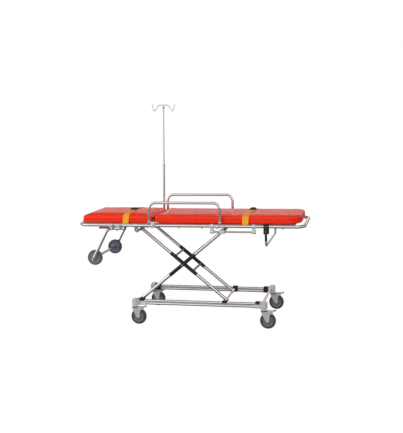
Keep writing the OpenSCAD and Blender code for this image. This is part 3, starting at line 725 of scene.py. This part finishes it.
chest_buckle = buckle("chest_buckle", head_pad, head_strap_x - 0.006, 0.030)
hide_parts("head_buckle")
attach(chest_buckle, "backrest")
leg_buckle = buckle("leg_buckle", main_pad, foot_strap_x + 0.006, 0.125)
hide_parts("foot_buckle")
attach(leg_buckle, "bed")

# the head pad and its welt get their placement baked into their meshes
for cover in (head_pad, head_welt):
    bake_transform(cover)

# ---------------------------------------------------------------- wheels

# profiles as (radius, distance from the wheel's middle)
TYRE = [(0.0440, -0.0120), (0.0475, -0.0136), (0.0540, -0.0140), (0.0588, -0.0126),
        (0.0612, -0.0098), (0.0624, -0.0050), (0.0625, 0.0), (0.0624, 0.0050),
        (0.0612, 0.0098), (0.0588, 0.0126), (0.0540, 0.0140), (0.0475, 0.0136), (0.0440, 0.0120)]
RIM = [(0.0080, -0.0160), (0.0125, -0.0162), (0.0145, -0.0150), (0.0155, -0.0092),
       (0.0210, -0.0078), (0.0250, -0.0070), (0.0262, -0.0086), (0.0282, -0.0086),
       (0.0294, -0.0070), (0.0360, -0.0072), (0.0385, -0.0104), (0.0415, -0.0126),
       (0.0438, -0.0126), (0.0443, -0.0110)]


def wheel(label, node, body, tyre_mat, rim_mat, bore):
    """A tyre on a moulded rim, in place of a plain CAD wheel."""
    low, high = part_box(node)
    centre = (Vector(low) + Vector(high)) / 2
    across = Vector((0.0, 1.0, 0.0))
    tyre = lathe(label + "_tyre", TYRE, centre, across, tyre_mat)
    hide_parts(node)
    side = [(max(r, bore), along) for r, along in RIM]
    rim = lathe(label + "_rim", side + [(r, -along) for r, along in reversed(side)],
                centre, across, rim_mat, 72, 28.0)
    for part in (tyre, rim):
        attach(part, body)


for code, words in CASTORS.items():
    wheel("castor_" + words, "castor_wheel_" + code, "castor_wheel_" + words,
          tyre_rubber, rim_plastic, 0.0051)
wheel("load_near", "load_wheel_near", "load_wheel_left", load_tyre, load_rim, 0.0062)
wheel("load_far", "load_wheel_far", "load_wheel_right", load_tyre, load_rim, 0.0062)

# ---------------------------------------------------------------- castor details

SWIVEL_TRAIL = 0.031  # from the wheel's axle back to the swivel
TREAD_RIBS = 4
TREAD_PLACE = (0.078, 0.1422)  # first rib: ahead of the swivel, above the floor
TREAD_STEP = (0.005, 0.0012)
SEAL = [(0.0200, 0.1352), (0.0222, 0.1352), (0.0230, 0.1366), (0.0230, 0.1412), (0.0220, 0.1424),
        (0.0200, 0.1424)]
for code, words in CASTORS.items():
    low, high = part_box("castor_fork_" + code)
    wheel_low, wheel_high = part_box("castor_wheel_" + code)
    axle_x = (wheel_low[0] + wheel_high[0]) / 2
    stem = Vector((axle_x - SWIVEL_TRAIL, (low[1] + high[1]) / 2, 0.0))
    seal = lathe("swivel_seal_" + words, SEAL, stem, Vector((0.0, 0.0, 1.0)), grip_rubber, 48)
    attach(seal, "castor_" + words)
    bm = bmesh.new()
    for i in range(TREAD_RIBS):
        rib_x = stem.x + TREAD_PLACE[0] + TREAD_STEP[0] * i
        rib_z = TREAD_PLACE[1] + TREAD_STEP[1] * i
        add_block(bm, (rib_x, stem.y, rib_z), (0.0022, 0.026, 0.0022))
    tread = piece_from("pedal_tread_" + words, bm, grip_rubber)
    soften(tread, 0.0005, 2)
    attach(tread, "castor_pedal_" + words)

# ---------------------------------------------------------------- drip hooks

HOOK_WIRE = 0.0038
HOOK_TURN = 12.0  # degrees that the hooks are turned on the pole
HOOK_DROP = 0.004  # hooks below the pole's top
# one hook from its tip to the pole, as (x, z) from the pole's top
HOOK_LINE = [(-0.098, 0.010), (-0.092, -0.014), (-0.086, -0.040), (-0.081, -0.050), (-0.074, -0.049),
             (-0.066, -0.038), (-0.052, -0.016), (-0.044, -0.003), (-0.036, 0.0), (0.0, 0.0)]
# the cap as (radius, along the pole)
CAP = [(0.0064, -0.034), (0.0086, -0.034), (0.0092, -0.032), (0.0092, -0.006), (0.0084, -0.001),
       (0.0060, 0.003), (0.0002, 0.004), (0.0002, 0.001), (0.0064, 0.001)]

pole_low, pole_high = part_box("iv_pole_upper")
pole_bottom, pole_peak = Vector(pole_low), Vector(pole_high)
pole_width = pole_peak.y - pole_bottom.y
pole_mid = (pole_bottom.y + pole_peak.y) / 2
pole_foot = Vector((pole_bottom.x + pole_width / 2, pole_mid, pole_bottom.z))
pole_top = Vector((pole_peak.x - pole_width / 2, pole_mid, pole_peak.z))
pole_line = (pole_top - pole_foot).normalized()


def smooth_line(points, rounds):
    """Corner cutting that turns a rough polyline into a smooth one."""
    for _ in range(rounds):
        cut = [points[0]]
        for a, b in zip(points, points[1:]):
            cut.append(a * 0.75 + b * 0.25)
            cut.append(a * 0.25 + b * 0.75)
        points = cut + [points[-1]]
    return points


hook_turn = Matrix.Rotation(math.radians(HOOK_TURN), 3, "Z")
hook_root = pole_top - Vector((0.0, 0.0, HOOK_DROP))
half_line = [Vector((x, 0.0, z)) for x, z in HOOK_LINE]
whole_line = half_line + [Vector((-p.x, 0.0, p.z)) for p in reversed(half_line[:-1])]
hook_path = [hook_turn @ p + hook_root for p in smooth_line(whole_line, 2)]
hooks = sweep("drip_hook_wire", hook_path, HOOK_WIRE, tube_metal)
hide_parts("iv_hooks")
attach(hooks, "drip_pole")
cap = lathe("drip_pole_cap", CAP, pole_top, pole_line, tube_metal, 40, 40.0)
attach(cap, "drip_pole")
